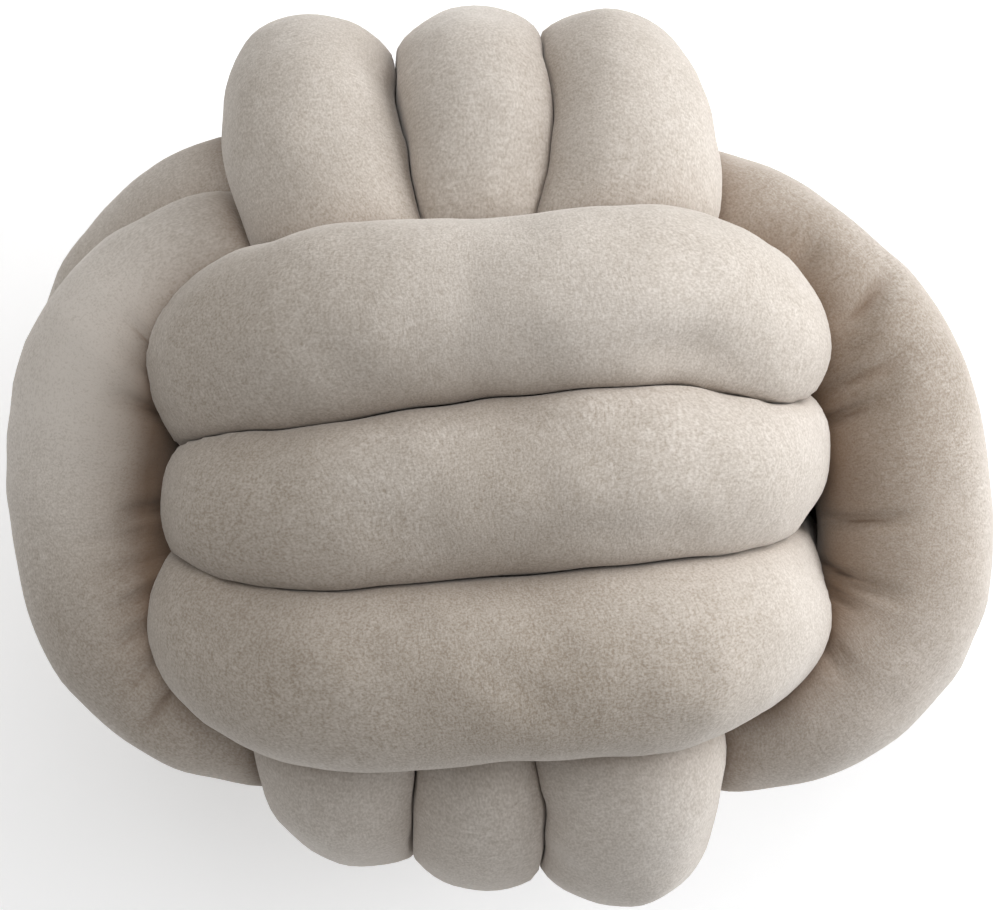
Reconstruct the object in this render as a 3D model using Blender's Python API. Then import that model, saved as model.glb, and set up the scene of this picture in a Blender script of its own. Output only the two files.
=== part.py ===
"""Knot cushion: one long stuffed plush tube tied as a monkey's fist.

Frame: metres, +Z up. The cushion lies on its back. Its face, three strands that run along X, looks
up. The origin is at the middle of the footprint of its box, on the surface that it rests on.

The tube makes three groups of three turns. Each group is a flat coil in its own plane and passes
outside one group and inside the other, so the three hold each other:
  rise  coils in the YZ planes, side by side along X, and shows at the far and near sides,
  face  coils in the XZ planes, side by side along Y, over the rise, and shows on the face and back,
  side  coils in the XY planes, side by side along Z, over the face's ends and inside the rise.
"""

import math

import bmesh
import bpy
import numpy as np

MM = 0.001

# Driving sizes, in millimetres
TUBE_RADIUS = 26.5       # of the stuffed tube where nothing presses on it
RADIUS_LIMIT = 32.0      # the most that a squeezed stretch may bulge
STRAND_GAP = 1.6         # left open between strands that press on each other
REST_FLAT = 6.0          # how far the back strands are pressed flat where the cushion rests
ROUTE_STEP = 5.0         # between the points of the centre line that strands are spaced from
RING_STEP = 14.5         # between the sections of the tube
RING_SIDES = 12
ROUTE_SOFTNESS = 10.0    # how widely corners of the route are eased
NEAR_SELF = 75.0         # stretches closer than this along the tube don't press on each other
PRESS_RANGE = 110.0      # strands further away than this never press
BEND_SHARE = 0.8         # of the bend's radius that the inside of a bend may fill
CORNER_SOFTNESS = 20.0   # how sharply a section turns from round to pressed flat
SINK_WIDTH = 55.0        # how long a stretch of a hidden pass sinks towards the core
TURN_STEP = 12.0         # degrees between the points of a turn
STUFFING_SPREAD = 22.0   # over how long a stretch the stuffing evens out

COLLECTION_NAME = "knot_cushion"
TUBE_NAME = "knotted_tube"
PLUSH_COLOUR = (0.60, 0.53, 0.46, 1.0)
PLUSH_ROUGHNESS = 0.95

X_AXIS, Y_AXIS, Z_AXIS = np.eye(3)

# A group of turns. A turn starts on the +out side and goes on to the +inn side, -out and -inn.
# shift is the share of a pitch that a turn moves sideways on each of those four passes.
# The pairs are for the +inn and the -inn passes, in millimetres: how far out a hidden pass runs, how
# close its strands crowd, how much deeper the middle strand sinks, and how square its corners are
# (2 is an ellipse). crowding is how late the strands start to close up as they go under a group.
GROUPS = {
    "rise": {
        "out": Y_AXIS, "inn": Z_AXIS, "stack": X_AXIS, "offset": -10.0, "pitch": 50.5,
        "reach_out": 113.0, "reach_inn": (82.0, 82.0), "pitch_inn": (30.0, 42.0),
        "sink": (28.0, 0.0), "pinch": 10.0, "square": (3.4, 3.4),
        "shift": (0.02, 0.12, 0.02, 0.84), "first": -1.0, "angles": (-50.0, 915.0), "crowding": 6.0,
    },
    "face": {
        "out": Z_AXIS, "inn": X_AXIS, "stack": Y_AXIS, "offset": -8.5, "pitch": 52.0,
        "reach_out": 117.0, "reach_inn": (72.0, 80.0), "pitch_inn": (42.0, 28.0),
        "sink": (0.0, 38.0), "pinch": 0.0, "square": (3.2, 3.2),
        "shift": (0.22, 0.73, 0.15, -0.10), "first": -1.0, "angles": (-140.0, 750.0), "crowding": 2.5,
    },
    "side": {
        "out": X_AXIS, "inn": Y_AXIS, "stack": -Z_AXIS, "offset": 0.0, "pitch": 51.0,
        "reach_out": 124.0, "reach_inn": (80.0, 79.0), "pitch_inn": (42.0, 30.0),
        "sink": (0.0, 38.0), "pinch": 12.0, "square": (2.3, 2.8),
        "shift": (0.05, 0.85, 0.05, 0.05), "first": -1.93, "angles": (166.0, 1106.0), "crowding": 6.0,
    },
}

# Where single strands lie off their group's rule: at an angle of the group's turns, over a width in
# degrees, this far outward and this far along the stack, in millimetres
UNEVEN = [
    # group, angle, width, outward, sideways
    ("rise", 0.0, 50.0, 0.0, 2.0),
    ("rise", 180.0, 60.0, -15.0, 13.0),
    ("rise", 408.0, 26.0, 0.0, 7.0),
    ("rise", 540.0, 60.0, -7.0, -1.0),
    ("rise", 736.0, 40.0, 0.0, -8.0),
    ("rise", 782.0, 17.0, 0.0, 5.0),
    ("rise", 900.0, 60.0, 0.0, -11.5),
    ("face", -77.0, 25.0, 2.0, -5.0),
    ("face", -25.0, 20.0, 0.0, -1.0),
    ("face", 8.0, 30.0, 0.0, 1.3),
    ("face", 38.0, 20.0, 0.0, -1.3),
    ("face", 76.0, 22.0, 4.0, -8.0),
    ("face", 283.0, 25.0, 6.5, -1.0),
    ("face", 330.0, 22.0, 0.0, -6.0),
    ("face", 376.0, 18.0, 0.0, 3.5),
    ("face", 408.0, 20.0, 0.0, -3.0),
    ("face", 437.0, 20.0, 3.0, -3.5),
    ("face", 640.0, 25.0, 6.0, 3.0),
    ("face", 660.0, 20.0, 0.0, 3.5),
    ("face", 692.0, 24.0, 0.0, -2.0),
    ("face", 742.0, 22.0, -1.5, -4.0),
    ("side", 232.0, 25.0, 3.0, 0.0),
    ("side", 322.0, 30.0, 9.5, 0.0),
    ("side", 396.0, 34.0, -5.5, 0.0),
    ("side", 494.0, 30.0, 15.0, 0.0),
    ("side", 760.0, 32.0, -6.0, 0.0),
]

# Points that the tube passes where it goes from one group to the next and at its tucked-in ends
LINKS = {
    "first_end": [(-2.0, 14.0, -30.0), (-22.0, 28.0, -44.0), (-42.0, 52.0, -60.0)],
    "rise_to_face": [(40.0, -104.0, -64.0), (36.0, -92.0, -88.0), (22.0, -80.0, -108.0),
                     (-2.0, -71.0, -117.5), (-26.0, -65.0, -116.5)],
    "face_to_side": [(67.0, 34.0, 82.0), (62.0, 35.0, 56.0), (44.0, 33.0, 34.0), (16.0, 28.0, 17.0),
                     (-12.0, 30.0, 17.0), (-38.0, 40.0, 28.0), (-64.0, 50.0, 42.0), (-90.0, 50.0, 50.0),
                     (-109.0, 38.0, 51.0)],
    "last_end": [(90.0, 62.0, -50.0), (70.0, 56.0, -50.0), (50.0, 42.0, -43.0), (36.0, 20.0, -32.0)],
}


def shift_table(shares):
    """Angles of one turn and how much of its sideways shift is done there."""
    angles = np.linspace(0.0, 2.0 * math.pi, 721)
    rate = np.zeros_like(angles)
    for quarter, share in enumerate(shares):
        away = (angles - quarter * math.pi / 2.0 + math.pi) % (2.0 * math.pi) - math.pi
        rate += share * np.where(np.abs(away) < math.pi / 2.0, np.cos(away) ** 2, 0.0)
    done = np.concatenate([[0.0], np.cumsum((rate[1:] + rate[:-1]) / 2.0)])
    return angles, done / done[-1]


def group_points(name):
    """The centre line of a group's turns."""
    group = GROUPS[name]
    degrees = np.arange(*group["angles"], TURN_STEP)
    turn = np.radians(degrees)
    cosine, sine = np.cos(turn), np.sin(turn)
    side = (sine < 0.0).astype(int)
    reach, crowded, sink, square = (np.array(group[key])[side]
                                    for key in ("reach_inn", "pitch_inn", "sink", "square"))
    out = group["reach_out"] * np.sign(cosine) * np.abs(cosine) ** (2.0 / square)
    inn = reach * np.sign(sine) * np.abs(sine) ** (2.0 / square)
    whole = np.floor(turn / (2.0 * math.pi))
    place = group["first"] + whole + np.interp(turn - whole * 2.0 * math.pi, *shift_table(group["shift"]))
    pitch = group["pitch"] + (crowded - group["pitch"]) * np.abs(sine) ** group["crowding"]
    middle = np.clip(1.0 - place**2, 0.0, 1.0)
    inn -= np.sign(sine) * (sink * middle + group["pinch"]) * np.exp(-((out / SINK_WIDTH) ** 2))
    stack = place * pitch + group["offset"]
    for owner, angle, width, outward, sideways in UNEVEN:
        if owner == name:
            near = np.exp(-(((degrees - angle) / width) ** 2))
            longer = 1.0 + outward * near / np.hypot(out, inn)
            out, inn, stack = out * longer, inn * longer, stack + sideways * near
    return np.outer(out, group["out"]) + np.outer(inn, group["inn"]) + np.outer(stack, group["stack"])


def smooth_curve(points, steps=8):
    """Points along a smooth curve through the given ones."""
    ends = np.concatenate([[2 * points[0] - points[1]], points, [2 * points[-1] - points[-2]]])
    share = np.linspace(0.0, 1.0, steps, endpoint=False)[:, None]
    pieces = []
    for a, b, c, d in zip(ends[:-3], ends[1:-2], ends[2:-1], ends[3:]):
        pieces.append(0.5 * (2 * b + (c - a) * share + (2 * a - 5 * b + 4 * c - d) * share**2
                             + (3 * b - a - 3 * c + d) * share**3))
    return np.concatenate(pieces + [points[-1:]])


def evenly(points, step):
    """The same line with its points a step apart."""
    along = np.concatenate([[0.0], np.cumsum(np.linalg.norm(np.diff(points, axis=0), axis=1))])
    count = max(2, round(along[-1] / step) + 1)
    places = np.linspace(0.0, along[-1], count)
    return np.stack([np.interp(places, along, points[:, k]) for k in range(3)], axis=1)


def eased(points, width):
    """A line with a point each millimetre, with its corners rounded over the given width."""
    half = int(3 * width)
    weights = np.exp(-0.5 * (np.arange(-half, half + 1) / width) ** 2)
    weights /= weights.sum()
    before = 2 * points[0] - points[1 : half + 1][::-1]
    after = 2 * points[-1] - points[-half - 1 : -1][::-1]
    longer = np.concatenate([before, points, after])
    return np.stack([np.convolve(longer[:, k], weights, "valid") for k in range(3)], axis=1)


def tube_route():
    """The tube's centre line, from its first tucked-in end to its last."""
    corners = np.concatenate([
        LINKS["first_end"], group_points("rise"),
        LINKS["rise_to_face"], group_points("face"),
        LINKS["face_to_side"], group_points("side"),
        LINKS["last_end"],
    ])
    return eased(evenly(smooth_curve(corners), 1.0), ROUTE_SOFTNESS)


def section_axes(line):
    """Tangents and two cross directions along a line, turned no more than the line turns."""
    tangents = np.gradient(line, axis=0)
    tangents /= np.linalg.norm(tangents, axis=1)[:, None]
    first = np.cross(tangents[0], Z_AXIS)
    across = np.zeros_like(line)
    across[0] = first / np.linalg.norm(first)
    for i in range(1, len(line)):
        kept = across[i - 1] - tangents[i] * (across[i - 1] @ tangents[i])
        across[i] = kept / np.linalg.norm(kept)
    return across, np.cross(tangents, across)


def pressed_room(line, step, places, spokes):
    """How far each spoke may reach before it is nearer to another stretch of the tube."""
    room = np.full(spokes.shape[:2], PRESS_RANGE)
    order = np.arange(len(line))
    for row, place in enumerate(places):
        other = line[np.abs(order - place) * step > NEAR_SELF] - line[place]
        squared = (other**2).sum(axis=1)
        other, squared = other[squared < PRESS_RANGE**2], squared[squared < PRESS_RANGE**2]
        facing = np.maximum(spokes[row] @ other.T, 1e-6)
        room[row] = np.minimum(room[row], (squared / (2.0 * facing)).min(axis=1))
    return room


def bend_room(line, step, places, spokes):
    """How far each spoke may reach before the inside of a bend folds on itself."""
    tangents = np.gradient(line, step, axis=0)
    bends = np.gradient(tangents, step, axis=0)[places]
    towards = np.maximum(np.einsum("rsk,rk->rs", spokes, bends), 1e-6)
    return BEND_SHARE / towards


def filled_reaches(room, step):
    """Each section's spoke lengths: as round as its room allows, with the stuffing's full area."""
    corner = math.sin(2.0 * math.pi / RING_SIDES) / 2.0
    area = math.pi * TUBE_RADIUS**2
    low, high = np.full(len(room), TUBE_RADIUS / 2.0), np.full(len(room), RADIUS_LIMIT)
    for _ in range(20):
        radius = (low + high) / 2.0
        reach = soft_least(radius[:, None], room)
        small = corner * (reach * np.roll(reach, -1, axis=1)).sum(axis=1) < area
        low, high = np.where(small, radius, low), np.where(small, high, radius)
    apart = np.arange(len(low)) * step
    share = np.exp(-0.5 * ((apart[:, None] - apart[None, :]) / STUFFING_SPREAD) ** 2)
    even = share @ low / share.sum(axis=1)
    return soft_least(even[:, None], room)


def soft_least(first, second):
    """The lesser of two lengths, with the step from one to the other rounded."""
    power = -CORNER_SOFTNESS
    return (first**power + second**power) ** (1.0 / power)


def tube_sections():
    """Rings of points along the tube, in millimetres about the knot's middle."""
    fine = tube_route()
    line = evenly(fine, ROUTE_STEP)
    step = np.linalg.norm(np.diff(line, axis=0), axis=1).mean()
    across, up = section_axes(line)
    count = round((len(line) - 1) * step / RING_STEP)
    places = np.round(np.linspace(0, len(line) - 1, count)).astype(int)
    angles = 2.0 * math.pi * np.arange(RING_SIDES) / RING_SIDES
    spokes = (np.cos(angles)[None, :, None] * across[places][:, None]
              + np.sin(angles)[None, :, None] * up[places][:, None])
    room = np.minimum(pressed_room(line, step, places, spokes), bend_room(line, step, places, spokes))
    reach = filled_reaches(np.maximum(room - STRAND_GAP / 2.0, 1.0), RING_STEP)
    from_end = np.minimum(places, len(line) - 1 - places) * step
    rounding = np.sqrt(np.clip(1.0 - (1.0 - from_end / TUBE_RADIUS).clip(0.0) ** 2, 0.0, 1.0))
    reach *= rounding[:, None]
    return line[places], line[places][:, None] + spokes * reach[:, :, None]


def tube_mesh():
    """The tube as one closed mesh in metres, pressed flat where it rests, its base at Z = 0."""
    centres, rings = tube_sections()
    base = rings[..., 2].min() + REST_FLAT
    middle = (rings.max(axis=(0, 1)) + rings.min(axis=(0, 1))) / 2.0
    origin = np.array([middle[0], middle[1], base])
    rings = np.maximum(rings, [-math.inf, -math.inf, base]) - origin
    tips = centres[[0, -1]] - origin
    shape = bmesh.new()
    rows = [[shape.verts.new(point * MM) for point in ring] for ring in rings[1:-1]]
    for near, far in zip(rows, rows[1:]):
        for side in range(RING_SIDES):
            after = (side + 1) % RING_SIDES
            shape.faces.new((near[side], near[after], far[after], far[side]))
    for tip, row in ((tips[0], rows[0][::-1]), (tips[1], rows[-1])):
        pole = shape.verts.new(tip * MM)
        for side in range(RING_SIDES):
            shape.faces.new((row[side], row[(side + 1) % RING_SIDES], pole))
    bmesh.ops.recalc_face_normals(shape, faces=shape.faces)
    mesh = bpy.data.meshes.new(TUBE_NAME)
    shape.to_mesh(mesh)
    shape.free()
    return mesh


def plush_material():
    """Short-pile plush: matt, warm beige."""
    material = bpy.data.materials.new("plush")
    material.use_nodes = True
    shader = material.node_tree.nodes["Principled BSDF"]
    shader.inputs["Base Color"].default_value = PLUSH_COLOUR
    shader.inputs["Roughness"].default_value = PLUSH_ROUGHNESS
    shader.inputs["Metallic"].default_value = 0.0
    return material


def main():
    for old in list(bpy.data.objects):
        bpy.data.objects.remove(old)
    collection = bpy.data.collections.new(COLLECTION_NAME)
    bpy.context.scene.collection.children.link(collection)
    mesh = tube_mesh()
    mesh.materials.append(plush_material())
    mesh.shade_smooth()
    collection.objects.link(bpy.data.objects.new(TUBE_NAME, mesh))


main()
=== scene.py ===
"""Knot cushion: one long stuffed plush sleeve tied as a monkey's fist.

The sleeve lies where the cushion's solid lies. Its centre line is worked out in millimetres about the
knot's middle, and the finished piece is in metres with its back on the floor and its face up.
"""

import math

import bmesh
import bpy
import numpy as np
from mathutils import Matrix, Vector


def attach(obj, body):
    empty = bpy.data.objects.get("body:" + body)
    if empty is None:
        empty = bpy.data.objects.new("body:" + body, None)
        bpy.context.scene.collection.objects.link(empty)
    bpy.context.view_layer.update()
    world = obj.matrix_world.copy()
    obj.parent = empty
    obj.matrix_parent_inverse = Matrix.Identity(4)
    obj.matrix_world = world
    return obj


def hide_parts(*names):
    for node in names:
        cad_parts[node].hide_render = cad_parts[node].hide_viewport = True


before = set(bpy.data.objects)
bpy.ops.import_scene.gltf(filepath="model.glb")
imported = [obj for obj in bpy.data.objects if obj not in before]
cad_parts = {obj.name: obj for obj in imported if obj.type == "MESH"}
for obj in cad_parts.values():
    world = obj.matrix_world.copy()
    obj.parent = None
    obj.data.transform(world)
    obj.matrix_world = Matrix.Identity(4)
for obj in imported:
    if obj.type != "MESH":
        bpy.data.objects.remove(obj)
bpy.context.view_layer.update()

bl_info = {
    "name": "Knot Cushion",
    "version": (1, 0, 0),
    "blender": (4, 5, 0),
    "location": "View3D > Sidebar > Knot Cushion",
    "description": "Models a plush cushion tied from one stuffed sleeve, with its stage",
    "category": "Object",
}

MM = 0.001
PIECE = "knotted_sleeve"
X_AXIS, Y_AXIS, Z_AXIS = np.eye(3)

# The route's own steps, in millimetres
ROUTE_STEP = 3.0         # between the points that strands are spaced from
ROUTE_SOFTNESS = 10.0    # how widely corners of the route are eased
NEAR_SELF = 75.0         # stretches closer than this along the sleeve don't press on each other
PRESS_RANGE = 110.0      # strands further away than this never press
BEND_SHARE = 0.8         # of the bend's radius that the inside of a bend may fill
SINK_WIDTH = 55.0        # how long a stretch of a hidden pass sinks towards the core
TURN_STEP = 12.0         # degrees between the points of a turn
STUFFING_SPREAD = 22.0   # over how long a stretch the stuffing evens out
HIDDEN_WITHIN = 86.0     # strands this near to the knot's middle don't show
NOOK_SHADE_REACH = 10.0        # over how far from another strand the painted shade fades
NOOK_SHADE_SHARES = {"rise": 0.5, "face": 0.35, "side": 1.0}  # how much painted shade, in each group
WARPS = ((0.9, 62.0), (0.35, 22.0))  # height and size of the waves that all strands share
STEP_EASE = 10.0         # over how many millimetres the step between sections changes
NOISE_WAVES = 24         # that an even noise is made of
FINE_LUMPS = (0.35, 0.4)  # height and size of the finer lumps, as shares of the wide ones
CURVE_STEPS = 8          # points of the smooth curve from one point of the route to the next
HALVINGS = 20            # of the range that a section's radius is found in
LUMP_SEED, FINE_LUMP_SEED, WARP_SEED, PUCKER_SEED = 3, 5, 20, 11
LEAST_ROOM = 1.0         # that a section always has
REST_SOFTNESS = 2.0      # over how much height the edge of the resting flat is rounded

# Puckers on the inside of bends. A bend is the sleeve's radius over the bend's own.
PUCKER_BEND = (0.18, 0.48)     # where puckers begin and where they are full
PUCKER_DEPTH = (0.5, 1.2)      # least and most, as a share of the full depth
PUCKER_SCATTER = 26.0          # degrees either way from the inside of the bend
PUCKER_TURN = 18.0             # degrees either way from square across the sleeve
PUCKER_LENGTH = (26.0, 52.0)
PUCKER_WIDTH = (1.8, 3.0)
PUCKER_SPACING = (9.0, 21.0)
PUCKER_CLEAR = 12.0            # from a crease of the table below
PUCKER_LEAST = 0.1             # shallower ones are left out
ENDS_CLEAR = 40.0              # from either end of the sleeve

# A crease's lips, and how its depth runs out along it
LIP_HEIGHT, LIP_PLACE, VALLEY_POWER = 0.22, 2.6, 1.5
CREASE_BOW, CREASE_MEAN, CREASE_FALL = 0.05, 0.92, 0.46

# Patterns in the plush: scale, detail and roughness of the noise
PATTERNS = {
    "hairs": (1450.0, 2.0, 0.6), "specks": (1700.0, 1.0, 0.6), "tufts": (420.0, 2.0, 0.55),
    "ruffle": (36.0, 3.0, 0.6), "strokes": (30.0, 3.0, 0.6), "clouds": (12.0, 2.0, 0.5),
}
# The noise values that each pattern is spread between, and how much it adds to the colour's depth
PATTERN_ENDS = {
    "hairs": (0.3, 0.7), "specks": (0.3, 0.7), "tufts": (0.32, 0.68),
    "ruffle": (0.56, 0.74), "strokes": (0.34, 0.66), "clouds": (0.38, 0.62),
}
SPECKS_DEPTH, TUFTS_DEPTH, STROKES_DEPTH, CLOUDS_DEPTH = -0.30, -0.07, 0.07, 0.06
RUFFLED_DEPTH, BRUSHED_AND_LIT_DEPTH = -0.12, -0.6
NOOK_RUFFLE = 0.12             # how much more the pile is ruffled beside other strands
PLAIN_DEPTH = 0.42             # of the colour, from 0, pale, to 1, deep
DEPTH_RANGE = (-0.15, 1.3)
HAIR_SHARE, RUFFLED_SHARE = 0.12, 0.22  # how much hairs show, and how much more where ruffled
HAIR_SQUEEZE = 0.26            # of the pattern across the sleeve, which makes hairs long
SWAY = 0.007                   # how far the pile leans off, in metres
SWAY_SCALE, SWAY_DETAIL = 60.0, 1.0
FULL_CREASE = 5.2              # the depth in mm from which a crease has its full painted shade
SHADE_IN_CREASES, SHADE_IN_NOOKS = 0.85, 0.9  # most of the painted fold shade that shows in creases and beside other strands
SPECK_HEIGHT, TUFT_HEIGHT = 0.6, 0.3  # as shares of the hairs' height
BUMP_STRENGTH = 0.8
SPECULAR, SHEEN_ROUGHNESS = 0.2, 0.45
SHEEN_TINT = (1.0, 0.96, 0.91)
SENSOR_WIDTH = 36.0
CAMERA_ASIDE = 0.0006          # towards +Y, in metres

# A group of turns. A turn starts on the +out side and goes on to the +inn side, -out and -inn.
# shift is the share of a pitch that a turn moves sideways on each of those four passes.
# The pairs are for the +inn and the -inn passes, in millimetres: how far out a hidden pass runs, how
# close its strands crowd, how much deeper the middle strand sinks, and how square its corners are
# (2 is an ellipse). pinch is how much deeper all three sink. crowding is how late the strands start
# to close up as they go under a group. first is where the first turn begins, in pitches.
GROUPS = {
    "rise": {
        "out": Y_AXIS, "inn": Z_AXIS, "stack": X_AXIS, "offset": -10.0, "pitch": 50.5,
        "reach_out": 113.0, "reach_inn": (82.0, 82.0), "pitch_inn": (30.0, 42.0),
        "sink": (28.0, 0.0), "pinch": 10.0, "square": (3.4, 3.4),
        "shift": (0.02, 0.12, 0.02, 0.84), "first": -1.0, "angles": (-50.0, 915.0),
        "crowding": 6.0,
    },
    "face": {
        "out": Z_AXIS, "inn": X_AXIS, "stack": Y_AXIS, "offset": -8.5, "pitch": 52.0,
        "reach_out": 117.0, "reach_inn": (72.0, 80.0), "pitch_inn": (42.0, 28.0),
        "sink": (0.0, 38.0), "pinch": 0.0, "square": (3.2, 3.2),
        "shift": (0.22, 0.73, 0.15, -0.10), "first": -1.0, "angles": (-140.0, 750.0),
        "crowding": 2.5,
    },
    "side": {
        "out": X_AXIS, "inn": Y_AXIS, "stack": -Z_AXIS, "offset": 0.0, "pitch": 51.0,
        "reach_out": 124.0, "reach_inn": (80.0, 79.0), "pitch_inn": (42.0, 30.0),
        "sink": (0.0, 38.0), "pinch": 12.0, "square": (2.3, 2.8),
        "shift": (0.05, 0.85, 0.05, 0.05), "first": -1.93, "angles": (166.0, 1106.0),
        "crowding": 6.0,
    },
}

# A place along the sleeve is its group's start on this scale plus the angle in degrees.
PLACE_START = {"rise": 0.0, "face": 2000.0, "side": 4000.0}

# Where single strands lie off their group's rule: at an angle of the group's turns, over a width in
# degrees, this far outward and this far along the stack, in millimetres
UNEVEN = [
    # group, angle, width, outward, sideways
    ("rise", 0.0, 50.0, 0.0, 2.0),
    ("rise", 180.0, 60.0, -15.0, 13.0),
    ("rise", 408.0, 26.0, 0.0, 7.0),
    ("rise", 540.0, 60.0, -7.0, -1.0),
    ("rise", 736.0, 40.0, 0.0, -8.0),
    ("rise", 782.0, 17.0, 0.0, 5.0),
    ("rise", 900.0, 60.0, 0.0, -11.5),
    ("face", -77.0, 25.0, 2.0, -5.0),
    ("face", -25.0, 20.0, 0.0, -1.0),
    ("face", 8.0, 30.0, 0.0, 1.3),
    ("face", 38.0, 20.0, 0.0, -1.3),
    ("face", 76.0, 22.0, 4.0, -8.0),
    ("face", 283.0, 25.0, 6.5, -1.0),
    ("face", 330.0, 22.0, 0.0, -6.0),
    ("face", 376.0, 18.0, 0.0, 3.5),
    ("face", 408.0, 20.0, 0.0, -3.0),
    ("face", 437.0, 20.0, 3.0, -3.5),
    ("face", 640.0, 25.0, 6.0, 3.0),
    ("face", 660.0, 20.0, 0.0, 3.5),
    ("face", 692.0, 24.0, 0.0, -2.0),
    ("face", 742.0, 22.0, -1.5, -4.0),
    ("side", 232.0, 25.0, 3.0, 0.0),
    ("side", 322.0, 30.0, 9.5, 0.0),
    ("side", 396.0, 34.0, -5.5, 0.0),
    ("side", 494.0, 30.0, 15.0, 0.0),
    ("side", 760.0, 32.0, -6.0, 0.0),
]

# Points that the sleeve passes where it goes from one group to the next and at its tucked-in ends
LINKS = {
    "first_end": [(-2.0, 14.0, -30.0), (-22.0, 28.0, -44.0), (-42.0, 52.0, -60.0)],
    "rise_to_face": [(40.0, -104.0, -64.0), (36.0, -92.0, -88.0), (22.0, -80.0, -108.0),
                     (-2.0, -71.0, -117.5), (-26.0, -65.0, -116.5)],
    "face_to_side": [(67.0, 34.0, 82.0), (62.0, 35.0, 56.0), (44.0, 33.0, 34.0),
                     (16.0, 28.0, 17.0), (-12.0, 30.0, 17.0), (-38.0, 40.0, 28.0),
                     (-64.0, 50.0, 42.0), (-90.0, 50.0, 50.0), (-109.0, 38.0, 51.0)],
    "last_end": [(90.0, 62.0, -50.0), (70.0, 56.0, -50.0), (50.0, 42.0, -43.0),
                 (36.0, 20.0, -32.0)],
}

# Creases in the plush. around is measured about the sleeve in degrees: 0 faces the knot's middle, 90
# the way that the group stacks up, 180 outward. heading is 0 along the sleeve and 90 around it. The
# crease is deepest at its first end. Lengths, depths and widths are in millimetres.
CREASES = [
    # group, angle, around, heading, length, depth, width
    ("side", 401.0, 128.0, 90.0, 14.0, 4.2, 1.8),
    ("side", 389.0, 136.0, 86.0, 36.0, 4.9, 3.2),
    ("side", 383.5, 108.0, 88.0, 20.0, 4.5, 1.8),
    ("side", 377.0, 106.0, 94.0, 46.0, 4.5, 3.5),
    ("side", 371.0, 84.0, 86.0, 34.0, 5.9, 2.1),
    ("side", 352.0, 76.0, 91.0, 38.0, 5.2, 1.8),
    ("side", 337.4, 74.0, 98.0, 38.0, 5.9, 1.8),
    ("side", 330.4, 70.0, 93.0, 18.0, 4.2, 1.8),
    ("side", 318.0, 92.0, 95.0, 24.0, 3.6, 2.4),
    ("side", 45.0, 110.0, 90.0, 18.0, 5.2, 2.0),
    ("side", 90.0, 104.0, 90.0, 18.0, 4.9, 1.8),
    ("side", 161.0, 82.0, 92.0, 26.0, 5.2, 2.5),
    ("side", 188.0, 70.0, 90.0, 28.0, 5.9, 2.1),
    ("side", 193.0, 86.0, 103.0, 42.0, 3.9, 2.9),
    ("side", 199.0, 88.0, 92.0, 30.0, 4.5, 2.2),
    ("side", 206.5, 96.0, 95.0, 24.0, 4.2, 2.1),
    ("side", 213.0, 110.0, 98.0, 24.0, 4.5, 2.1),
    ("side", 219.6, 124.0, 95.0, 24.0, 4.5, 2.1),
    ("side", 225.0, 136.0, 92.0, 30.0, 4.5, 2.2),
]

# Dents and swellings, in millimetres: height is below zero where the plush is pressed in
SWELLS = [
    # group, angle, around, half length, half width, height
    ("side", 380.0, 84.0, 7.0, 14.0, 1.0),
    ("side", 361.0, 80.0, 12.0, 16.0, 1.2),
    ("side", 345.0, 76.0, 10.0, 16.0, 1.4),
    ("side", 395.0, 120.0, 8.0, 14.0, 1.0),
    ("side", 70.0, 100.0, 10.0, 14.0, 1.2),
    ("side", 178.0, 78.0, 12.0, 14.0, 1.2),
    ("side", 203.0, 86.0, 6.0, 14.0, 1.0),
    ("face", 368.0, 212.0, 12.0, 5.0, -1.0),
    ("face", 381.0, 214.0, 10.0, 5.0, -1.1),
    ("face", 738.0, 222.0, 22.0, 1.8, -0.6),
    ("face", 748.0, 226.0, 16.0, 9.0, -3.0),
    ("face", 428.0, 134.0, 16.0, 9.0, -3.0),
    ("face", 428.0, 228.0, 16.0, 10.0, -3.2),
    ("face", 71.0, 132.0, 14.0, 8.0, -2.4),
    ("face", 644.0, 228.0, 14.0, 9.0, -3.0),
    ("face", 290.0, 132.0, 14.0, 9.0, -3.0),
]

# Patches made paler, or deeper (below zero): some are pile stroked up or down, and some are painted
# light and shade, such as lit right ends and shaded left ends of the face strands and a face that is
# deeper towards its lowest strand
BRUSHED_AND_LIT = [
    # group, angle, around, half length, half width, amount
    ("side", 352.0, 86.0, 95.0, 30.0, -0.6),
    ("side", 392.0, 130.0, 50.0, 34.0, -0.5),
    ("side", 412.0, 126.0, 40.0, 36.0, -0.4),
    ("side", 316.0, 130.0, 40.0, 34.0, 0.2),
    ("side", 160.0, 130.0, 50.0, 44.0, 1.3),
    ("side", 205.0, 150.0, 90.0, 40.0, -0.6),
    ("face", 0.0, 160.0, 65.0, 40.0, -0.9),
    ("face", 360.0, 180.0, 65.0, 45.0, -0.3),
    ("face", 720.0, 180.0, 55.0, 40.0, 0.15),
    ("face", 658.0, 180.0, 45.0, 50.0, -0.8),
    ("face", 300.0, 180.0, 45.0, 50.0, -0.7),
    ("face", -62.0, 180.0, 45.0, 50.0, -0.5),
    ("face", 425.0, 180.0, 35.0, 50.0, 0.4),
    ("face", 64.0, 180.0, 40.0, 50.0, 0.4),
    ("rise", 155.0, 180.0, 50.0, 60.0, 0.2),
    ("rise", 515.0, 180.0, 50.0, 60.0, 0.1),
    ("rise", 875.0, 180.0, 50.0, 60.0, 0.35),
    ("rise", 20.0, 180.0, 45.0, 50.0, -0.3),
    ("rise", 740.0, 180.0, 45.0, 50.0, -0.3),
]

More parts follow.
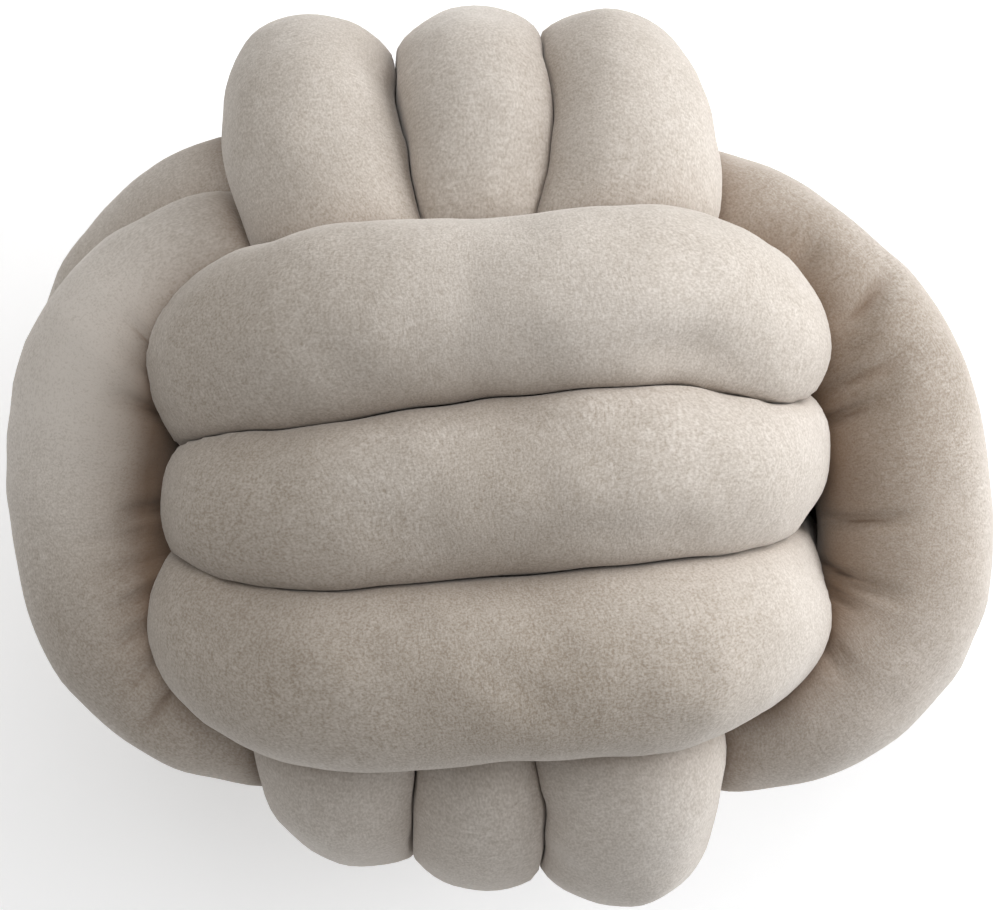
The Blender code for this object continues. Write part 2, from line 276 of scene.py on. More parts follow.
# Patches of painted shade in the fold colour, as a share of it, on the side strands beside the face
# strands
PAINTED_SHADE_PATCHES = [
    # group, angle, around, half length, half width, share
    ("side", 354.0, 92.0, 95.0, 34.0, 0.30),
    ("side", 350.0, 62.0, 90.0, 12.0, 0.20),
    ("side", 408.0, 120.0, 40.0, 30.0, 0.14),
    ("side", 192.0, 66.0, 75.0, 15.0, 0.75),
]

# Soft lights round the cushion, in degrees and metres, and the share of the stage's power they have
LIGHT_DISTANCE = 1.6
LIGHTS = [
    # name, azimuth, elevation, width, height, share of the power, colour
    ("key", 26.0, 18.0, 1.7, 0.9, 0.60, (0.98, 1.0, 1.03)),
    ("front", 312.0, 18.0, 0.9, 0.9, 0.10, (0.98, 1.0, 1.03)),
    ("top", 90.0, 72.0, 0.9, 0.9, 0.22, (1.0, 1.0, 1.0)),
    ("fill", 180.0, 48.0, 0.9, 0.9, 0.08, (1.0, 1.0, 1.0)),
]


class KnotCushionSleeve(bpy.types.PropertyGroup):
    """Sizes of the stuffed sleeve, in millimetres."""

    radius: bpy.props.FloatProperty(
        name="Radius", description="Of the sleeve where nothing presses on it, in mm", default=26.5)
    radius_limit: bpy.props.FloatProperty(
        name="Radius limit", description="The most that a squeezed stretch may bulge, in mm",
        default=32.0)
    gap: bpy.props.FloatProperty(
        name="Gap", description="Left between strands that press on each other, in mm", default=0.35)
    corner: bpy.props.FloatProperty(
        name="Corner", description="How sharply a section turns from round to pressed flat",
        default=42.0)
    rest_flat: bpy.props.FloatProperty(
        name="Resting flat", description="How far the back strands are pressed flat, in mm",
        default=6.0)
    shown_step: bpy.props.FloatProperty(
        name="Shown step", description="Between sections of the sleeve where it shows, in mm",
        default=2.75)
    hidden_step: bpy.props.FloatProperty(
        name="Hidden step", description="Between sections inside the knot, in mm", default=7.0)
    sides: bpy.props.IntProperty(name="Sides", description="Of each section", default=56)
    lump_height: bpy.props.FloatProperty(
        name="Lump height", description="Of the stuffing's unevenness, as a share of the radius",
        default=0.018)
    lump_size: bpy.props.FloatProperty(
        name="Lump size", description="Of the stuffing's unevenness, in mm", default=42.0)
    pucker_depth: bpy.props.FloatProperty(
        name="Pucker depth", description="Of the creases on the inside of bends, in mm", default=2.7)
    fill: bpy.props.FloatProperty(
        name="Fill", description="How tightly the sleeve is stuffed", default=0.85, min=0.0, max=1.0,
        subtype="FACTOR")


class KnotCushionPlush(bpy.types.PropertyGroup):
    """Colours and pile of the plush: colours run from pale to deep with the way that the pile lies and
    with patches of painted light and shade, and the fold colour is painted shade.
    """

    pale: bpy.props.FloatVectorProperty(
        name="Pale", description="Colour of pile that is brushed up", subtype="COLOR", size=3,
        default=(0.68, 0.622, 0.56))
    deep: bpy.props.FloatVectorProperty(
        name="Deep", description="Colour of pile that lies down", subtype="COLOR", size=3,
        default=(0.41, 0.352, 0.292))
    # The fold colour is painted shade, mixed in along creases and beside other strands.
    fold_shade: bpy.props.FloatVectorProperty(
        name="Fold", description="Colour in creases and between strands", subtype="COLOR", size=3,
        default=(0.19, 0.118, 0.072))
    roughness: bpy.props.FloatProperty(
        name="Roughness", description="Of the pile", default=0.92, min=0.0, max=1.0, subtype="FACTOR")
    sheen: bpy.props.FloatProperty(
        name="Sheen", description="Of the pile at grazing angles", default=0.35, min=0.0, max=1.0,
        subtype="FACTOR")
    hair_height: bpy.props.FloatProperty(
        name="Hair height", description="Of the pile's grain", default=0.00003, unit="LENGTH")


class KnotCushionStage(bpy.types.PropertyGroup):
    """Floor, lights and camera."""

    distance: bpy.props.FloatProperty(
        name="Distance", description="From the camera to the knot's middle", default=0.9, unit="LENGTH")
    lens: bpy.props.FloatProperty(name="Lens", description="Focal length in mm", default=98.86)
    floor: bpy.props.FloatVectorProperty(
        name="Floor", description="Colour of the floor", subtype="COLOR", size=3,
        default=(0.9, 0.9, 0.9))
    glow: bpy.props.FloatProperty(
        name="Glow", description="Light that the floor gives off", default=0.36)
    power: bpy.props.FloatProperty(
        name="Power", description="Of all the lights together in W", default=46.0)
    room: bpy.props.FloatProperty(
        name="Room", description="Strength of the light all round", default=0.08)


# The sleeve's centre line

def shift_table(shares):
    """Angles of one turn and how much of its sideways shift is done there."""
    angles = np.linspace(0.0, 2.0 * math.pi, 721)
    rate = np.zeros_like(angles)
    for quarter, share in enumerate(shares):
        away = (angles - quarter * math.pi / 2.0 + math.pi) % (2.0 * math.pi) - math.pi
        rate += share * np.where(np.abs(away) < math.pi / 2.0, np.cos(away) ** 2, 0.0)
    done = np.concatenate([[0.0], np.cumsum((rate[1:] + rate[:-1]) / 2.0)])
    return angles, done / done[-1]


def group_points(name):
    """The centre line of a group's turns: x, y, z and place."""
    group = GROUPS[name]
    degrees = np.arange(*group["angles"], TURN_STEP)
    turn = np.radians(degrees)
    cosine, sine = np.cos(turn), np.sin(turn)
    side = (sine < 0.0).astype(int)
    reach, crowded, sink, square = (np.array(group[key])[side]
                                    for key in ("reach_inn", "pitch_inn", "sink", "square"))
    out = group["reach_out"] * np.sign(cosine) * np.abs(cosine) ** (2.0 / square)
    inn = reach * np.sign(sine) * np.abs(sine) ** (2.0 / square)
    whole = np.floor(turn / (2.0 * math.pi))
    shifted = np.interp(turn - whole * 2.0 * math.pi, *shift_table(group["shift"]))
    place = group["first"] + whole + shifted
    pitch = group["pitch"] + (crowded - group["pitch"]) * np.abs(sine) ** group["crowding"]
    middle = np.clip(1.0 - place**2, 0.0, 1.0)
    inn -= np.sign(sine) * (sink * middle + group["pinch"]) * np.exp(-((out / SINK_WIDTH) ** 2))
    stack = place * pitch + group["offset"]
    for owner, angle, width, outward, sideways in UNEVEN:
        if owner == name:
            near = np.exp(-(((degrees - angle) / width) ** 2))
            longer = 1.0 + outward * near / np.hypot(out, inn)
            out, inn, stack = out * longer, inn * longer, stack + sideways * near
    points = sum(np.outer(length, group[axis])
                 for length, axis in ((out, "out"), (inn, "inn"), (stack, "stack")))
    return np.column_stack([points, PLACE_START[name] + degrees])


def link_points(name, before, after):
    """A link's points, with places spaced from the one before them to the one after."""
    count = len(LINKS[name])
    return np.column_stack([LINKS[name], np.linspace(before, after, count + 2)[1:-1]])


def smooth_curve(points):
    """Points along a smooth curve through the given ones."""
    ends = np.concatenate([[2 * points[0] - points[1]], points, [2 * points[-1] - points[-2]]])
    share = np.linspace(0.0, 1.0, CURVE_STEPS, endpoint=False)[:, None]
    pieces = []
    for a, b, c, d in zip(ends[:-3], ends[1:-2], ends[2:-1], ends[3:]):
        pieces.append(0.5 * (2 * b + (c - a) * share + (2 * a - 5 * b + 4 * c - d) * share**2
                             + (3 * b - a - 3 * c + d) * share**3))
    return np.concatenate(pieces + [points[-1:]])


def distances(points):
    """How far along the line each point lies."""
    return np.concatenate([[0.0], np.cumsum(np.linalg.norm(np.diff(points[:, :3], axis=0), axis=1))])


def read_at(points, along, places):
    """The line's columns at the given distances along it."""
    return np.stack([np.interp(places, along, column) for column in points.T], axis=1)


def evenly(points, step):
    """The same line with its points a step apart."""
    along = distances(points)
    return read_at(points, along, np.linspace(0.0, along[-1], max(2, round(along[-1] / step) + 1)))


def eased(points, width):
    """A line with a point each millimetre, with its corners rounded over the given width."""
    half = int(3 * width)
    weights = np.exp(-0.5 * (np.arange(-half, half + 1) / width) ** 2)
    weights /= weights.sum()
    before = 2 * points[0] - points[1 : half + 1][::-1]
    after = 2 * points[-1] - points[-half - 1 : -1][::-1]
    longer = np.concatenate([before, points, after])
    return np.stack([np.convolve(column, weights, "valid") for column in longer.T], axis=1)


def sleeve_route():
    """The sleeve's centre line, a point each millimetre: x, y, z and place."""
    rise, face, side = (group_points(name) for name in ("rise", "face", "side"))
    corners = np.concatenate([
        link_points("first_end", rise[0, 3] - 60.0, rise[0, 3]), rise,
        link_points("rise_to_face", rise[-1, 3], face[0, 3]), face,
        link_points("face_to_side", face[-1, 3], side[0, 3]), side,
        link_points("last_end", side[-1, 3], side[-1, 3] + 60.0),
    ])
    return eased(evenly(smooth_curve(corners), 1.0), ROUTE_SOFTNESS)


# The sleeve's sections

def unit(vectors):
    return vectors / np.linalg.norm(vectors, axis=-1, keepdims=True)


def section_places(points, along, sizes):
    """Distances along the sleeve for its sections: close where it shows, further apart inside."""
    hidden = np.linalg.norm(points[:, :3], axis=1) < HIDDEN_WITHIN
    step = np.where(hidden, sizes.hidden_step, sizes.shown_step)
    half = int(3 * STEP_EASE)
    weights = np.exp(-0.5 * (np.arange(-half, half + 1) / STEP_EASE) ** 2)
    step = np.convolve(np.pad(step, half, "edge"), weights / weights.sum(), "valid")
    passed = np.concatenate([[0.0], np.cumsum(np.diff(along) / ((step[1:] + step[:-1]) / 2.0))])
    return np.interp(np.linspace(0.0, passed[-1], round(passed[-1])), passed, along)


def carried_axes(points):
    """Tangents and two cross directions along a line, turned no more than the line turns."""
    tangents = unit(np.gradient(points, axis=0))
    across = np.zeros_like(points)
    across[0] = unit(np.cross(tangents[0], Z_AXIS))
    for i in range(1, len(points)):
        across[i] = unit(across[i - 1] - tangents[i] * (across[i - 1] @ tangents[i]))
    return tangents, across, np.cross(tangents, across)


def pressed_room(centres, places, spokes, line, line_along):
    """How far each spoke may reach before it is nearer to another stretch of the sleeve."""
    room = np.full(spokes.shape[:2], PRESS_RANGE)
    for row, centre in enumerate(centres):
        other = line[np.abs(line_along - places[row]) > NEAR_SELF] - centre
        squared = (other**2).sum(axis=1)
        other, squared = other[squared < PRESS_RANGE**2], squared[squared < PRESS_RANGE**2]
        facing = np.maximum(spokes[row] @ other.T, 1e-6)
        room[row] = np.minimum(room[row], (squared / (2.0 * facing)).min(axis=1))
    return room


def soft_least(first, second, power):
    """The lesser of two lengths, with the step from one to the other rounded."""
    return (first**-power + second**-power) ** (-1.0 / power)


def stuffed_radius(room, places, sizes):
    """The radius that gives each section the stuffing's full area within its room."""
    corner = math.sin(2.0 * math.pi / sizes.sides) / 2.0
    area = math.pi * sizes.radius**2
    low, high = np.full(len(room), sizes.radius / 2.0), np.full(len(room), sizes.radius_limit)
    for _ in range(HALVINGS):
        radius = (low + high) / 2.0
        reach = soft_least(radius[:, None], room, sizes.corner)
        small = corner * (reach * np.roll(reach, -1, axis=1)).sum(axis=1) < area
        low, high = np.where(small, radius, low), np.where(small, high, radius)
    share = np.exp(-0.5 * ((places[:, None] - places[None, :]) / STUFFING_SPREAD) ** 2)
    share *= np.gradient(places)[None, :]
    return share @ low / share.sum(axis=1)


def smooth_noise(points, size, seed):
    """Even, seamless noise, mostly between -1 and 1, at points in millimetres: waves every way."""
    rng = np.random.default_rng(seed)
    total = np.zeros(points.shape[:-1])
    headings = unit(rng.normal(size=(NOISE_WAVES, 3)))
    for heading, phase in zip(headings, rng.uniform(0.0, 2.0 * math.pi, NOISE_WAVES)):
        total += np.sin(points @ heading * (2.0 * math.pi / size) * rng.uniform(0.6, 1.5) + phase)
    return total / math.sqrt(2.0 * NOISE_WAVES)


def crease_shape(away, width):
    """A crease's depth across it: a valley with a soft lip on each side."""
    lips = np.exp(-(((np.abs(away) - LIP_PLACE * width) / width) ** 2))
    return np.exp(-np.abs(away / width) ** VALLEY_POWER) - LIP_HEIGHT * lips


def crease_field(along, around, rows, radius):
    """Depth of all the creases in rows at each point of the sleeve, in millimetres."""
    depth = np.zeros_like(around)
    for place, turned, heading, length, deep, width in rows:
        near = np.abs(along[:, 0] - place) < length
        across = ((around[near] - turned + 180.0) % 360.0 - 180.0) * math.radians(radius)
        forward = along[near] - place
        cosine, sine = math.cos(math.radians(heading)), math.sin(math.radians(heading))
        run = (forward * cosine + across * sine) / (length / 2.0)
        away = across * cosine - forward * sine + CREASE_BOW * length * (run**2 - 0.4)
        fall = CREASE_MEAN - CREASE_FALL * np.clip(run, -1.0, 1.0)
        taper = np.clip(1.0 - run**2, 0.0, 1.0) * fall
        depth[near] = np.maximum(depth[near], deep * taper * crease_shape(away, width))
    return depth


def pucker_rows(places, bends, inner, sizes):
    """Small creases on the inside of bends: evenly scattered, deeper where the bend is tighter."""
    rng = np.random.default_rng(PUCKER_SEED)
    begin, full = PUCKER_BEND
    rows = []
    place = places[0] + ENDS_CLEAR
    while place < places[-1] - ENDS_CLEAR:
        bend = np.interp(place, places, bends) * sizes.radius
        depth = sizes.pucker_depth * np.clip((bend - begin) / (full - begin), 0.0, 1.0)
        depth *= rng.uniform(*PUCKER_DEPTH)
        turned = np.interp(place, places, inner) + rng.uniform(-PUCKER_SCATTER, PUCKER_SCATTER)
        if depth > PUCKER_LEAST:
            rows.append((place, turned, 90.0 + rng.uniform(-PUCKER_TURN, PUCKER_TURN),
                         rng.uniform(*PUCKER_LENGTH), depth, rng.uniform(*PUCKER_WIDTH)))
        place += rng.uniform(*PUCKER_SPACING)
    return rows


def placed_rows(table, turns, places):
    """Rows of a table with their group and angle made a distance along the sleeve."""
    return [(np.interp(PLACE_START[group] + angle, turns, places), *rest)
            for group, angle, *rest in table]


def patches(along, around, rows, radius):
    """The sum of soft patches of the given heights at each point of the sleeve."""
    total = np.zeros_like(around)
    for place, turned, length, width, height in rows:
        across = ((around - turned + 180.0) % 360.0 - 180.0) * math.radians(radius)
        total += height * np.exp(-(((along - place) / length) ** 2) - (across / width) ** 2)
    return total


def enclosure(rings, places, line, line_along, radius):
    """1 where another strand touches the sleeve, falling to 0 over NOOK_SHADE_REACH or so away from it."""
    # This share is where the fold colour is painted as shade beside other strands.
    nook_shade = np.zeros(rings.shape[:2])
    for row, ring in enumerate(rings):
        other = line[np.abs(line_along - places[row]) > NEAR_SELF]
        other = other[np.linalg.norm(other - ring.mean(axis=0), axis=1) < PRESS_RANGE]
        if len(other):
            nearest = np.linalg.norm(ring[:, None] - other[None], axis=2).min(axis=1)
            nook_shade[row] = np.exp(-np.clip(nearest - radius, 0.0, None) / NOOK_SHADE_REACH)
    return nook_shade


def nook_shade_shares(turns):
    """How much painted shade goes beside other strands, at each place of the sleeve."""
    ends = [PLACE_START[name] + angle for name, group in GROUPS.items() for angle in group["angles"]]
    return np.interp(turns, ends, np.repeat(list(NOOK_SHADE_SHARES.values()), 2))


def sleeve_surface(sizes):
    """The sleeve's sections as rows of points in millimetres, with what the plush needs to know."""
    fine = sleeve_route()
    fine_along = distances(fine)
    line = evenly(fine, ROUTE_STEP)
    places = section_places(fine, fine_along, sizes)
    tangents, first, second = (read_at(axis, fine_along, places) for axis in carried_axes(fine[:, :3]))
    centres, turns = read_at(fine, fine_along, places)[:, :3], read_at(fine, fine_along, places)[:, 3]
    angles = 2.0 * math.pi * np.arange(sizes.sides) / sizes.sides
    spokes = np.cos(angles)[:, None] * first[:, None] + np.sin(angles)[:, None] * second[:, None]

    # Room, from the other strands and from the sleeve's own bend
    velocity = np.gradient(fine[:, :3], fine_along, axis=0)
    bend = read_at(np.gradient(velocity, fine_along, axis=0), fine_along, places)
    towards = np.maximum(np.einsum("rsk,rk->rs", spokes, bend), 1e-6)
    room = np.minimum(pressed_room(centres, places, spokes, line[:, :3], distances(line)),
                      BEND_SHARE / towards)
    room = np.maximum(room - sizes.gap / 2.0, LEAST_ROOM)

    # Directions about the sleeve: 0 faces the knot's middle, 90 is sideways in its group
    facing = unit(-centres + tangents * np.einsum("rk,rk->r", centres, tangents)[:, None])
    sideways = np.cross(tangents, facing)
    around = np.degrees(np.arctan2(np.einsum("rsk,rk->rs", spokes, sideways),
                                   np.einsum("rsk,rk->rs", spokes, facing)))
    inner = np.degrees(np.arctan2((bend * sideways).sum(axis=1), (bend * facing).sum(axis=1)))

    radius = stuffed_radius(room, places, sizes)[:, None]
    rough = centres[:, None] + spokes * sizes.radius
    lumps = 1.0 + sizes.lump_height * smooth_noise(rough, sizes.lump_size, LUMP_SEED)
    fine_height, fine_size = FINE_LUMPS
    fine_noise = smooth_noise(rough, sizes.lump_size * fine_size, FINE_LUMP_SEED)
    lumps += sizes.lump_height * fine_height * fine_noise
    along = np.repeat(places[:, None], sizes.sides, axis=1)
    swell = patches(along, around, placed_rows(SWELLS, turns, places), sizes.radius)
    reach = soft_least(radius * lumps + swell, room, sizes.corner)
    chosen = placed_rows(CREASES, turns, places)
    puckers = [row for row in pucker_rows(places, np.linalg.norm(bend, axis=1), inner, sizes)
               if all(abs(row[0] - other[0]) > PUCKER_CLEAR for other in chosen)]
    creases = crease_field(along, around, chosen + puckers, sizes.radius)
    reach = np.minimum(reach - creases, room)

    # Rounded ends
    from_end = np.minimum(places - places[0], places[-1] - places)
    reach *= np.sqrt(np.clip(1.0 - (1.0 - from_end / sizes.radius).clip(0.0) ** 2, 0.0, 1.0))[:, None]
    rolled = np.stack([along, np.cos(angles) * sizes.radius + 0.0 * along,
                       np.sin(angles) * sizes.radius + 0.0 * along], axis=2)
    rings = centres[:, None] + spokes * reach[:, :, None]
    # Painted shade: the fold colour goes on where other strands come close, and in the listed shade
    # patches.
    nook_shade = enclosure(rings, places, line[:, :3], distances(line), sizes.radius)
    nook_shade *= nook_shade_shares(turns)[:, None]
    shade_patches = patches(along, around, placed_rows(PAINTED_SHADE_PATCHES, turns, places), sizes.radius)
    nook_shade = np.clip(nook_shade + shade_patches, 0.0, 1.0)
    for turn, (height, size) in enumerate(WARPS):
        waves = [smooth_noise(rings, size, WARP_SEED + 3 * turn + axis) for axis in range(3)]
        rings = rings + height * np.stack(waves, axis=2)
    looks = {
        "rolled": rolled * MM,
        "crease": np.clip(creases, 0.0, None),
        "nook_shade": nook_shade,
        "brushed_and_lit": patches(along, around, placed_rows(BRUSHED_AND_LIT, turns, places), sizes.radius),
    }
    return centres, rings, looks


def rested(heights, base):
    """Heights pressed up to the floor's, with the edge of the flat rounded."""
    above = heights - base
    rounded = (above + REST_SOFTNESS) ** 2 / (4.0 * REST_SOFTNESS)
    pressed = np.where(above > -REST_SOFTNESS, rounded, 0.0)
    return np.where(above > REST_SOFTNESS, above, pressed)


# The piece

def attribute(mesh, name, values):
    """Give a mesh of rings, without their first and last, and two end points a value at each point."""
    flat = values[1:-1].reshape(-1, *values.shape[2:])
    ends = np.stack([values[0].mean(axis=0), values[-1].mean(axis=0)])
    vector = values.ndim == 3
    made = mesh.attributes.new(name, "FLOAT_VECTOR" if vector else "FLOAT", "POINT")
    made.data.foreach_set("vector" if vector else "value", np.concatenate([flat, ends]).ravel())


def sleeve_object(sizes):
    """The sleeve as one closed mesh in metres, its box's middle over the origin, its back at Z = 0."""
    centres, rings, looks = sleeve_surface(sizes)
    base = rings[..., 2].min() + sizes.rest_flat
    middle = (rings.max(axis=(0, 1)) + rings.min(axis=(0, 1))) / 2.0
    shift = np.array([middle[0], middle[1], 0.0])
    rings, tips = rings - shift, centres[[0, -1]] - shift
    rings[..., 2], tips[:, 2] = rested(rings[..., 2], base), tips[:, 2] - base

    rows, sides = rings.shape[0] - 2, rings.shape[1]
    points = np.concatenate([rings[1:-1].reshape(-1, 3), tips])
    first = (np.arange(rows - 1)[:, None] * sides + np.arange(sides)).ravel()
    after = (np.arange(rows - 1)[:, None] * sides + (np.arange(sides) + 1) % sides).ravel()
    walls = np.stack([first, after, after + sides, first + sides], axis=1).tolist()
    last = (rows - 1) * sides
    caps = [(k, rows * sides, (k + 1) % sides) for k in range(sides)]
    caps += [(last + k, last + (k + 1) % sides, rows * sides + 1) for k in range(sides)]
    mesh = bpy.data.meshes.new(PIECE)
    mesh.from_pydata((points * MM).tolist(), [], walls + caps)
    shape = bmesh.new()
    shape.from_mesh(mesh)
    bmesh.ops.recalc_face_normals(shape, faces=shape.faces)
    shape.to_mesh(mesh)
    shape.free()
    mesh.shade_smooth()
    for name, values in looks.items():
        attribute(mesh, name, values)
    piece = bpy.data.objects.new(PIECE, mesh)
    piece["knot_middle"] = (-shift[0] * MM, -shift[1] * MM, -base * MM)
    bpy.context.scene.collection.objects.link(piece)
    return piece


# The plush

COLOUR_MIX_INPUTS, COLOUR_MIX_OUTPUT = (0, 6, 7), 2  # sockets of a mix node set to mix colours


class Nodes:
    """Short ways to add and join nodes of one material."""

    def __init__(self, material):
        material.use_nodes = True
        self.tree = material.node_tree
        self.tree.nodes.clear()

    def add(self, kind, inputs=(), **settings):
        node = self.tree.nodes.new(kind)
        for name, value in settings.items():
            setattr(node, name, value)
        for name, value in dict(inputs).items():
            if isinstance(value, bpy.types.NodeSocket):
                self.tree.links.new(value, node.inputs[name])
            else:
                node.inputs[name].default_value = value
        return node

    def math(self, operation, first, second=0.0, third=0.0):
        return self.add("ShaderNodeMath", {0: first, 1: second, 2: third},
                        operation=operation).outputs[0]

    def vector_math(self, operation, inputs):
        return self.add("ShaderNodeVectorMath", inputs, operation=operation).outputs[0]

    def noise(self, vector, scale, detail, roughness):
        return self.add("ShaderNodeTexNoise", {
            "Vector": vector, "Scale": scale, "Detail": detail, "Roughness": roughness}).outputs[0]

    def spread(self, value, low, high, to_low=0.0, to_high=1.0):
        return self.add("ShaderNodeMapRange", {
            "Value": value, "From Min": low, "From Max": high,
            "To Min": to_low, "To Max": to_high}).outputs[0]

    def pattern(self, vector, name):
        """One of the plush's patterns, from -1 to 1."""
        return self.spread(self.noise(vector, *PATTERNS[name]), *PATTERN_ENDS[name], -1.0, 1.0)

    def mix(self, share, first, second):
        node = self.add("ShaderNodeMix", data_type="RGBA", clamp_factor=False)
        sockets = [node.inputs[number] for number in COLOUR_MIX_INPUTS]
        for socket, value in zip(sockets, (share, first, second)):
            if isinstance(value, bpy.types.NodeSocket):
                self.tree.links.new(value, socket)
            else:
                socket.default_value = value
        return node.outputs[COLOUR_MIX_OUTPUT]


def solid(colour):
    return (*colour, 1.0)


def plush_material(look):
    """Short-pile plush: a matt nap of fine hairs that lie across the sleeve, brushed into patches, with
    painted light and shade in some patches and painted shade in creases and beside other strands.
    """
    material = bpy.data.materials.new("plush")
    nodes = Nodes(material)
    rolled = nodes.add("ShaderNodeAttribute", attribute_name="rolled").outputs["Vector"]
    crease, nook_shade, brushed_and_lit = (nodes.add("ShaderNodeAttribute", attribute_name=name).outputs["Fac"]
                            for name in ("crease", "nook_shade", "brushed_and_lit"))
    place = nodes.add("ShaderNodeTexCoord").outputs["Object"]

    # Hairs: long across the sleeve and fine along it, swayed by the way that each patch was brushed
    sway = nodes.add("ShaderNodeTexNoise", {
        "Vector": rolled, "Scale": SWAY_SCALE, "Detail": SWAY_DETAIL}).outputs["Color"]
    swayed = nodes.vector_math("SUBTRACT", {0: sway, 1: (0.5, 0.5, 0.5)})
    swayed = nodes.vector_math("SCALE", {0: swayed, "Scale": SWAY})
    brushed = nodes.vector_math("ADD", {0: rolled, 1: swayed})
    combed = nodes.add("ShaderNodeMapping", {
        "Vector": brushed, "Scale": (1.0, HAIR_SQUEEZE, HAIR_SQUEEZE)}).outputs[0]
    hairs = nodes.pattern(combed, "hairs")
    specks = nodes.pattern(rolled, "specks")
    tufts = nodes.pattern(brushed, "tufts")

    # Patches where the pile was ruffled, so that its hairs show more and look paler
    ruffle = nodes.noise(brushed, *PATTERNS["ruffle"])
    ruffle = nodes.math("MULTIPLY_ADD", nook_shade, NOOK_RUFFLE, ruffle)
    ruffle = nodes.spread(ruffle, *PATTERN_ENDS["ruffle"])
    strokes = nodes.pattern(brushed, "strokes")
    clouds = nodes.pattern(place, "clouds")

    # How deep the colour is: 0 pale, 1 deep
    combed_share = nodes.math("MULTIPLY_ADD", ruffle, RUFFLED_SHARE, HAIR_SHARE)
    depth = nodes.math("MULTIPLY_ADD", nodes.math("MULTIPLY", hairs, combed_share), -1.0, PLAIN_DEPTH)
    # The brushed patches from the table also paint light and shade on the face and side strands.
    for pattern, amount in ((specks, SPECKS_DEPTH), (tufts, TUFTS_DEPTH), (strokes, STROKES_DEPTH),
                            (clouds, CLOUDS_DEPTH), (ruffle, RUFFLED_DEPTH),
                            (brushed_and_lit, BRUSHED_AND_LIT_DEPTH)):
        depth = nodes.math("MULTIPLY_ADD", pattern, amount, depth)
    depth = nodes.math("MAXIMUM", nodes.math("MINIMUM", depth, DEPTH_RANGE[1]), DEPTH_RANGE[0])
    pile = nodes.mix(depth, solid(look.pale), solid(look.deep))
    # Painted shade: the fold colour is mixed in by a crease's depth and beside other strands.
    painted_shade = nodes.math("MULTIPLY", nodes.spread(crease, 0.0, FULL_CREASE), SHADE_IN_CREASES)
    painted_shade = nodes.math("MAXIMUM", painted_shade, nodes.math("MULTIPLY", nook_shade, SHADE_IN_NOOKS))
    pile = nodes.mix(painted_shade, pile, solid(look.fold_shade))

    height = nodes.math("MULTIPLY_ADD", tufts, TUFT_HEIGHT, hairs)
    height = nodes.math("MULTIPLY_ADD", specks, SPECK_HEIGHT, height)
    bump = nodes.add("ShaderNodeBump", {
        "Height": height, "Distance": look.hair_height, "Strength": BUMP_STRENGTH})
    shader = nodes.add("ShaderNodeBsdfPrincipled", {
        "Base Color": pile, "Normal": bump.outputs[0], "Roughness": look.roughness, "Metallic": 0.0,
        "Specular IOR Level": SPECULAR, "Sheen Weight": look.sheen,
        "Sheen Roughness": SHEEN_ROUGHNESS,
        "Sheen Tint": solid(SHEEN_TINT)})
    out = nodes.add("ShaderNodeOutputMaterial")
    nodes.tree.links.new(shader.outputs[0], out.inputs["Surface"])
    return material


class KNOTCUSHION_OT_sleeve(bpy.types.Operator):
    """Model the stuffed plush sleeve and its material"""

    bl_idname = "knotcushion.sleeve"
    bl_label = "Knotted Sleeve"

    def execute(self, context):
        piece = sleeve_object(context.scene.knot_sleeve)
        piece.data.materials.append(plush_material(context.scene.knot_plush))
        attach(piece, "root")
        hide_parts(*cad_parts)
        return {"FINISHED"}


# The stage

def floor(colour, glow):
    """A wide pale floor under the cushion, which gives off a little light of its own."""
    bpy.ops.object.select_all(action="DESELECT")
    bpy.ops.mesh.primitive_plane_add(size=8.0, location=(0.0, 0.0, -0.0005))
    ground = bpy.context.object
    ground.name = "floor"
    bpy.ops.object.transform_apply(location=True, rotation=True, scale=True)
    material = bpy.data.materials.new("floor")
    nodes = Nodes(material)
    shader = nodes.add("ShaderNodeBsdfPrincipled", {
        "Base Color": solid(colour), "Roughness": 0.9, "Emission Color": (1.0, 1.0, 1.0, 1.0),
        "Emission Strength": glow})
    out = nodes.add("ShaderNodeOutputMaterial")
    nodes.tree.links.new(shader.outputs[0], out.inputs["Surface"])
    ground.data.materials.append(material)


def softbox(name, middle, azimuth, elevation, width, height, power, colour):
    """A large soft area light that faces the knot's middle: azimuth 0 is on the cushion's +X side."""
    turned, raised = math.radians(azimuth), math.radians(elevation)
    level = math.cos(raised)
    aim = Vector((level * math.cos(turned), level * math.sin(turned), math.sin(raised)))
    data = bpy.data.lights.new(name, "AREA")
    data.shape = "RECTANGLE"
    data.size, data.size_y = width, height
    data.energy = power
    data.color = colour
    lamp = bpy.data.objects.new(name, data)
    bpy.context.scene.collection.objects.link(lamp)
    lamp.location = middle + aim * LIGHT_DISTANCE
    lamp.rotation_euler = aim.to_track_quat("Z", "Y").to_euler()


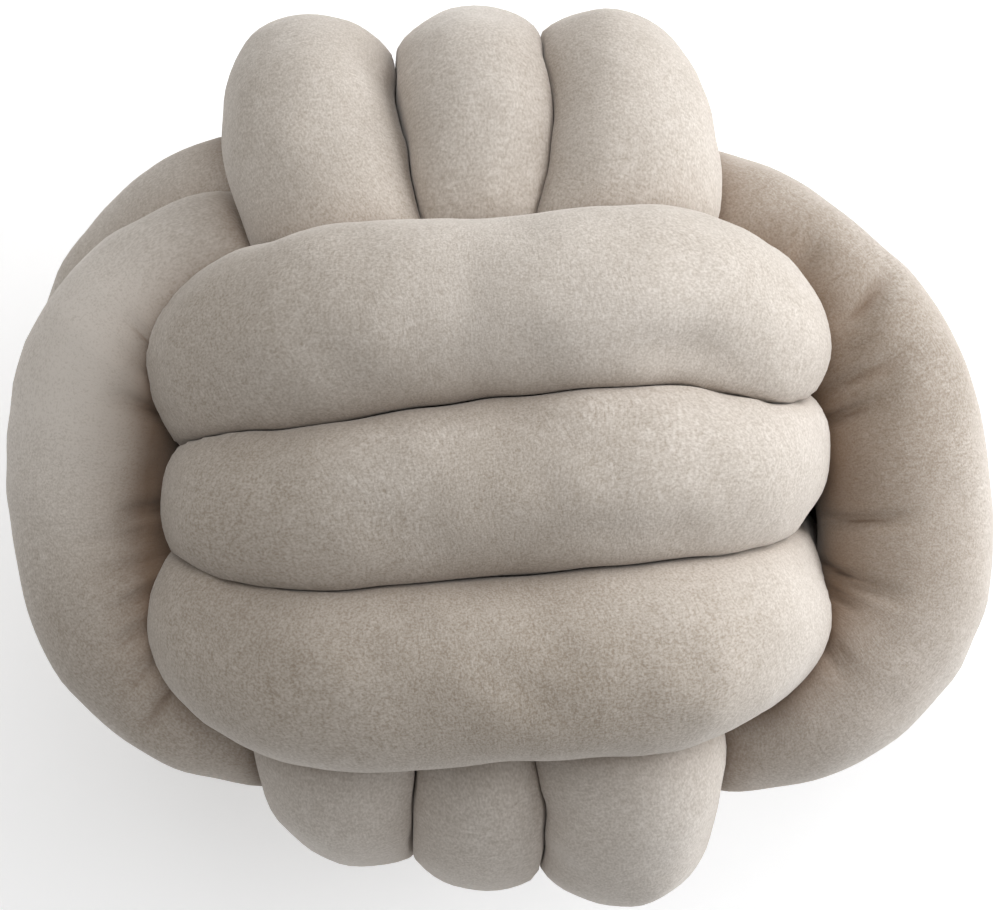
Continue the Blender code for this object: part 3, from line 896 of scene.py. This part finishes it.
class KNOTCUSHION_OT_stage(bpy.types.Operator):
    """Add the floor, the lights and the camera over the cushion's face"""

    bl_idname = "knotcushion.stage"
    bl_label = "Stage"

    def execute(self, context):
        stage = context.scene.knot_stage
        middle = Vector(bpy.data.objects[PIECE]["knot_middle"])
        floor(stage.floor, stage.glow)
        for name, azimuth, elevation, width, height, share, colour in LIGHTS:
            softbox(name, middle, azimuth, elevation, width, height, share * stage.power, colour)
        world = context.scene.world or bpy.data.worlds.new("room")
        context.scene.world = world
        world.use_nodes = True
        backdrop = world.node_tree.nodes["Background"]
        backdrop.inputs["Color"].default_value = (1.0, 1.0, 1.0, 1.0)
        backdrop.inputs["Strength"].default_value = stage.room

        camera = bpy.data.objects.new("camera", bpy.data.cameras.new("camera"))
        context.scene.collection.objects.link(camera)
        camera.data.lens = stage.lens
        camera.data.sensor_width = SENSOR_WIDTH
        camera.location = middle + Vector((0.0, CAMERA_ASIDE, stage.distance))
        context.scene.camera = camera
        context.scene.view_settings.view_transform = "Standard"
        return {"FINISHED"}


class KNOTCUSHION_PT_panel(bpy.types.Panel):
    """Lists the cushion's operators and sizes."""

    bl_label = "Knot Cushion"
    bl_idname = "KNOTCUSHION_PT_panel"
    bl_space_type = "VIEW_3D"
    bl_region_type = "UI"
    bl_category = "Knot Cushion"

    def draw(self, context):
        for settings, operator in (("knot_sleeve", "knotcushion.sleeve"), ("knot_plush", None),
                                   ("knot_stage", "knotcushion.stage")):
            group = getattr(context.scene, settings)
            for name in group.bl_rna.properties.keys():
                if name not in ("rna_type", "name"):
                    self.layout.prop(group, name)
            if operator:
                self.layout.operator(operator)


CLASSES = (KnotCushionSleeve, KnotCushionPlush, KnotCushionStage, KNOTCUSHION_OT_sleeve,
           KNOTCUSHION_OT_stage, KNOTCUSHION_PT_panel)


def register():
    for made in CLASSES:
        bpy.utils.register_class(made)
    bpy.types.Scene.knot_sleeve = bpy.props.PointerProperty(type=KnotCushionSleeve)
    bpy.types.Scene.knot_plush = bpy.props.PointerProperty(type=KnotCushionPlush)
    bpy.types.Scene.knot_stage = bpy.props.PointerProperty(type=KnotCushionStage)


def unregister():
    for settings in ("knot_sleeve", "knot_plush", "knot_stage"):
        delattr(bpy.types.Scene, settings)
    for made in reversed(CLASSES):
        bpy.utils.unregister_class(made)


def main():
    register()
    bpy.ops.knotcushion.sleeve()
    bpy.ops.knotcushion.stage()


if __name__ == "__main__":
    main()
